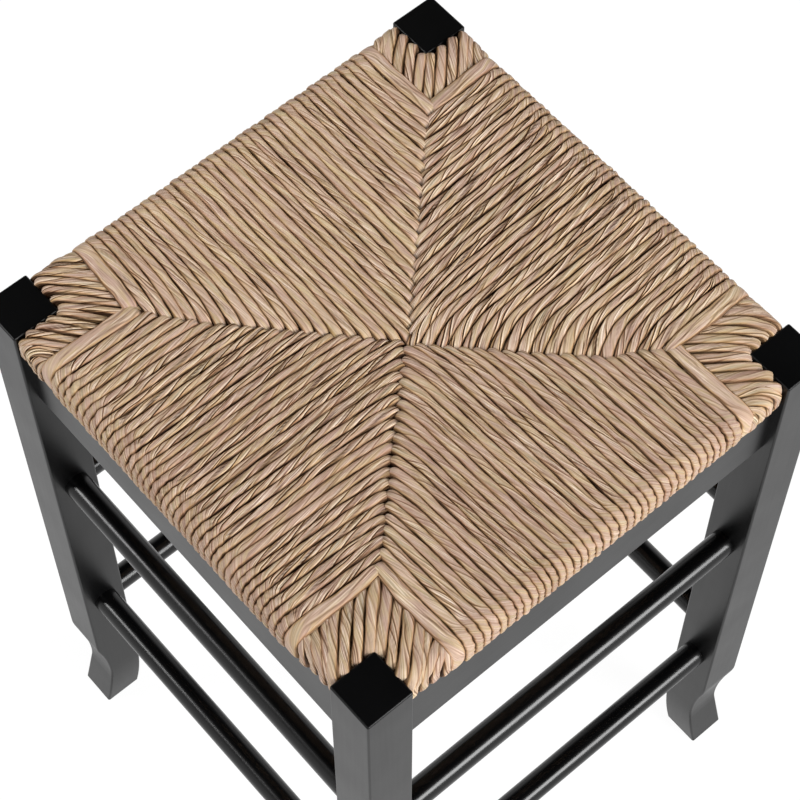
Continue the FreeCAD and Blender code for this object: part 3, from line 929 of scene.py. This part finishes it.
def panel_strand(strand, turn):
    """Points and sideways directions of one strand, and the values that change along it."""
    points = []
    sideways = []
    rates = []
    carried = {"girth": [], "flatness": [], "braid": [], "rush_worn": []}
    shift = strand["at_mitre"] - strand["at_rail"]
    narrowing = strand["mitre_step"].x - strand["rail_step"]
    for out, height in strand["profile"]:
        at_rim = rising((out - RIM) / RIM_TWIST_LENGTH + 1)
        near = max(0.0, 1 - (out - strand["tip"]) / strand["drift"])
        place = strand["at_rail"] + shift * near ** 2
        lean = -shift * 2 * near / strand["drift"]
        across = Vector((1.0, lean, 0.0)).normalized()
        step = strand["rail_step"] + narrowing * near ** 2
        width = abs(Vector((step, strand["mitre_step"].y, 0.0)).dot(across))
        points.append(turn @ Vector((place, -out, height)))
        sideways.append(turn @ across)
        rates.append(strand["twist"] * (1 + RIM_TWIST * at_rim))
        carried["girth"].append(width)
        carried["flatness"].append(strand["thick"] / width)
        carried["braid"].append(strand["lobes"] * at_rim)
        carried["rush_worn"].append(strand["worn"] * (1 + RIM_WEAR * at_rim))
    carried["wound"] = wound_length(points, rates)
    return points, sideways, carried


print("twist on the rim, times that on top:", 1 + RIM_TWIST)

# %% Wind the panels
TUCK = 1.5 * MM
APEX_TUCK = 4.0 * MM
APEX_STRANDS = 4
STRAND_THICK = 5.5 * MM
WIDE_THICK = 3.6 * MM
WIDE_RISE = 1.6 * MM
WIDE_TWIST = 0.2
WIDE_WORN = 0.45
LIFTS_IN_MM = (-0.5, 0.5)
TWISTS = (0.75, 1.25)
WEAR_SPREAD = (0.4, 1.3)
LOBE_SPREAD = (0.5, 1.3)
TONE_SPREAD = 0.17
PANEL_SEED = 5
PANELS = {
    "front": {"turn": 0, "axis": 0, "over": ("front_left", 70), "under": ("front_right", 60),
              "worn": 1.2, "tone": 0.45, "braid": 0.12},
    "right": {"turn": 90, "axis": 1, "over": ("front_right", 32), "under": ("back_right", 40),
              "worn": 0.55, "tone": 0.36, "braid": 0.09},
    "back": {"turn": 180, "axis": 0, "over": ("back_right", 36), "under": ("back_left", 60),
             "worn": 1.3, "tone": 0.43, "braid": 0.12},
    "left": {"turn": 270, "axis": 1, "over": ("back_left", 60), "under": ("front_left", 58),
             "worn": 0.58, "tone": 0.5, "braid": 0.1},
}


def rail_span(look):
    """Where a panel's outermost strands cross its rail, and where its two halves meet on it."""
    ends = {}
    for end in (OVER, UNDER):
        corner = CORNERS[look[end["name"]][0]]
        ends[end["name"]] = end["hand"] * corner["edge"][look["axis"]] * MM
    narrow = OVER["strands"] + UNDER["strands"] - 2 * len(WIDE_STRANDS)
    pitch = (ends["under"] - ends["over"] - 2 * sum(WIDE_STRANDS)) / narrow
    middle = ends["over"] + sum(WIDE_STRANDS) + pitch * (OVER["strands"] - len(WIDE_STRANDS))
    return ends, middle


def strand_tip(end, j, mitre, wide):
    """How far from the middle of the seat a strand's tip dives."""
    if end is OVER:
        return (WIDE_THICK / 2 if wide else HALF_THICK) - mitre[j + 1].y
    return -mitre[j].y - (APEX_TUCK if j < APEX_STRANDS else TUCK)


def wind_panel(side):
    """Lay the strands of one panel, half by half from its mitres to its middle, and weave them."""
    look = PANELS[side]
    turn = Matrix.Rotation(math.radians(look["turn"]), 3, "Z")
    chance = random.Random(look["turn"] + PANEL_SEED)
    guides = GuideLines()
    ends, rail_middle = rail_span(look)
    for end in (OVER, UNDER):
        corner_name, drift = look[end["name"]]
        count = end["strands"]
        mitre = [turn.inverted() @ point for point in mitre_edges(CORNERS[corner_name], count)]
        rail = rail_edges(ends[end["name"]], rail_middle, count, chance)
        for j in range(count):
            wide = j == 0
            tip = strand_tip(end, j, mitre, wide)
            lift = chance.uniform(*LIFTS_IN_MM) * MM + (WIDE_RISE if wide else 0.0)
            strand = {
                "tip": tip,
                "drift": drift * MM,
                "profile": strand_profile(tip, end["dive"], lift, end["past"]),
                "at_mitre": (mitre[j].x + mitre[j + 1].x) / 2,
                "at_rail": (rail[j] + rail[j + 1]) / 2,
                "mitre_step": mitre[j + 1] - mitre[j],
                "rail_step": rail[j + 1] - rail[j],
                "thick": WIDE_THICK if wide else STRAND_THICK,
                "twist": WIDE_TWIST if wide else chance.uniform(*TWISTS),
                "worn": WIDE_WORN if wide else look["worn"] * chance.uniform(*WEAR_SPREAD),
                "lobes": 0.0 if wide else look["braid"] * chance.uniform(*LOBE_SPREAD),
            }
            points, sideways, carried = panel_strand(strand, turn)
            carried["seed"] = chance.random()
            carried["rush_tone"] = limited(chance.gauss(look["tone"], TONE_SPREAD))
            guides.line(points, sideways, carried)
    return weave(f"{side}_panel_strands", guides)


panels = [wind_panel(side) for side in PANELS]
print("panel strands:", (OVER["strands"] + UNDER["strands"]) * len(panels))

# %% [markdown]
# ## The four corners
# The first strands of a seat are wound round each leg before any panel starts. They come out from under
# the outermost panel strands and run along the diagonal. Those in the middle stop at the leg's two inner
# faces and dive there, and those at the sides go over the rail beside the leg.
# Their lines are drawn on a flat plan, in which the rail's side and underside are unrolled, and then
# wrapped round the rail.

# %% Wrap the plan round the rail
QUARTER_BEND = RAIL_BEND * math.pi / 2
HALFWAY = RIM + QUARTER_BEND + (LINE_TOP - LINE_BOTTOM) / 2 - RAIL_BEND


def wrapped(unrolled):
    """Where a place on the unrolled plan lies round the rail: out, height, and the angle turned."""
    if unrolled > HALFWAY:
        out, height, angle = wrapped(2 * HALFWAY - unrolled)
        return out, LINE_TOP + LINE_BOTTOM - height, math.pi - angle
    if unrolled < RIM:
        return unrolled, LINE_TOP, 0.0
    angle = min((unrolled - RIM) / RAIL_BEND, math.pi / 2)
    drop = max(0.0, unrolled - RIM - QUARTER_BEND)
    height = LINE_TOP - RAIL_BEND * (1 - math.cos(angle)) - drop
    return RIM + RAIL_BEND * math.sin(angle), height, angle


print("way round the rail in mm:", round(2 * (HALFWAY - RIM) / MM, 1))

# %% Draw the corner strands on the plan
END_BEND = 2.2 * MM
END_DEPTH = 12.0 * MM
END_TURN = 26.0 * MM
DIVE_DEGREES = (22.5, 45, 67.5, 90)
TO_LEG_STEP = 2.5 * MM
BEND_MARGIN = 4.0 * MM
CURVE_STEP = 1 / 22
BELOW_LENGTH = 45 * MM
UNDERSIDE = 2 * HALFWAY - RIM + BELOW_LENGTH
UNDERSIDE_STEP = 3 * MM


def strand_to_leg(start, offset, shift):
    """A strand beside the diagonal that turns to the leg, shifts inwards and dives at the leg's face.
    The list holds places on the plan (near, far), the direction there, and the drop below the top."""
    stop = LEG_FACE - HALF_THICK
    places = [(near, 0.0) for near in spaced(start, stop - END_BEND, TO_LEG_STEP)]
    for degrees in DIVE_DEGREES:
        angle = math.radians(degrees)
        places.append((stop - END_BEND * (1 - math.sin(angle)), END_BEND * (1 - math.cos(angle))))
    places.append((stop, END_BEND + END_DEPTH))
    path = []
    for near, drop in places:
        late = max(0.0, 1 - (stop - near) / END_TURN)
        slope = 1 - 2 * shift * late / END_TURN
        path.append((near, near + offset - shift * late ** 2, 1.0, slope, drop))
    return path


def strand_to_rail(start, offset, place):
    """A strand that leaves the diagonal in a smooth curve, crosses the rail and comes back below."""
    begin = Vector((start, min(start + offset, RIM - BEND_MARGIN)))
    stop = Vector((place, HALFWAY))
    pull = Vector((place, min(place + offset, RIM + BEND_MARGIN)))
    path = []
    for t in spaced(0.0, 1.0, CURVE_STEP):
        at = begin * (1 - t) ** 2 + pull * (2 * t * (1 - t)) + stop * t ** 2
        run = (pull - begin) * (1 - t) + (stop - pull) * t
        path.append((at.x, at.y, run.x, run.y, 0.0))
    return path + [(place, far, 0.0, 1.0, 0.0) for far in spaced(HALFWAY, UNDERSIDE, UNDERSIDE_STEP)[1:]]


print("corner strands run below for", round(BELOW_LENGTH / MM), "mm")

# %% Wind the corners
CORNER_OVERLAP = 1.02
CORNER_THICK = 6.4 * MM
CORNER_BRAID = 0.05
CORNER_START = 9.0 * MM
CORNER_DIP = 5.0 * MM
CORNER_RISE = 1.8 * MM
DIP_LENGTH = 28.0 * MM
END_SHIFT = 1.2 * MM
END_SPREAD = 0.12
LEG_SHARE = 42.0 * MM
RIM_WIDENING = 1.08
BESIDE_LEG = 0.55
DIAGONAL = math.sqrt(2)
CORNER_LIFTS_IN_MM = (-0.4, 0.5)
CORNER_WIDTHS = (0.92, 1.08)
CORNER_TWISTS = (0.8, 1.5)
CORNER_WEAR_SPREAD = (0.6, 1.4)
CORNER_TONE = 0.55
CORNER_TONE_SPREAD = 0.18


def corner_line(path, start, swap, corner, lift):
    """Wrap a plan path round the rail and set it in its corner: points and sideways directions."""
    points = []
    sideways = []
    signs = corner["signs"]
    recess = corner["recess"] * MM
    hand = signs[0] * signs[1] * (1 if swap else -1)
    for near, far, run_near, run_far, drop in path:
        out, height, angle = wrapped(far)
        out -= recess * math.sin(angle) * rising((near - start) / DIP_LENGTH)
        if far < HALFWAY:
            dip = CORNER_DIP * (1 - rising((near - start) / DIP_LENGTH))
            height += top_line(out) - LINE_TOP + CORNER_RISE - dip + lift - drop
        across = Vector((run_far, -run_near * math.cos(angle), run_near * math.sin(angle)))
        across = across.normalized() * hand
        x, y = (out, near) if swap else (near, out)
        across_x, across_y = (across.y, across.x) if swap else (across.x, across.y)
        points.append(Vector((signs[0] * x, signs[1] * y, height)))
        sideways.append(Vector((signs[0] * across_x, signs[1] * across_y, across.z)))
    return points, sideways


def wind_corner(name):
    """Lay the strands of one corner, from the diagonal to each of its two rails, and weave them."""
    corner = CORNERS[name]
    pitch = corner["pitch"] * MM
    rim_pitch = pitch * RIM_WIDENING
    chance = random.Random(name)
    guides = GuideLines()
    for swap in (False, True):
        edge = corner["edge"][1 if swap else 0] * MM
        gather = corner["gather"][1 if swap else 0] * MM
        start = edge - CORNER_START
        to_leg = round(LEG_SHARE / (pitch * DIAGONAL - gather / 2))
        to_rail = round((LEG_FACE - edge) / rim_pitch)
        for k in range(to_leg + to_rail):
            offset = (k + 0.5) * pitch * DIAGONAL
            lift = chance.uniform(*CORNER_LIFTS_IN_MM) * MM
            if k < to_leg:
                path = strand_to_leg(start, offset, END_SHIFT + gather * k)
            else:
                place = LEG_FACE - rim_pitch * (k - to_leg + BESIDE_LEG)
                path = strand_to_rail(start, offset, place)
            points, sideways = corner_line(path, start, swap, corner, lift)
            width = pitch * CORNER_OVERLAP * chance.uniform(*CORNER_WIDTHS)
            guides.line(points, sideways, {
                "seed": chance.random(),
                "wound": wound_length(points, [chance.uniform(*CORNER_TWISTS)] * len(points)),
                "girth": [width * (1 + END_SPREAD * min(1.0, drop / END_BEND)) for *_, drop in path],
                "flatness": CORNER_THICK / width,
                "braid": CORNER_BRAID,
                "rush_worn": corner["worn"] * chance.uniform(*CORNER_WEAR_SPREAD),
                "rush_tone": limited(chance.gauss(CORNER_TONE, CORNER_TONE_SPREAD)),
            })
    return weave(f"{name}_corner_strands", guides)


corners = [wind_corner(name) for name in CORNERS]
print("corners wound:", len(corners))
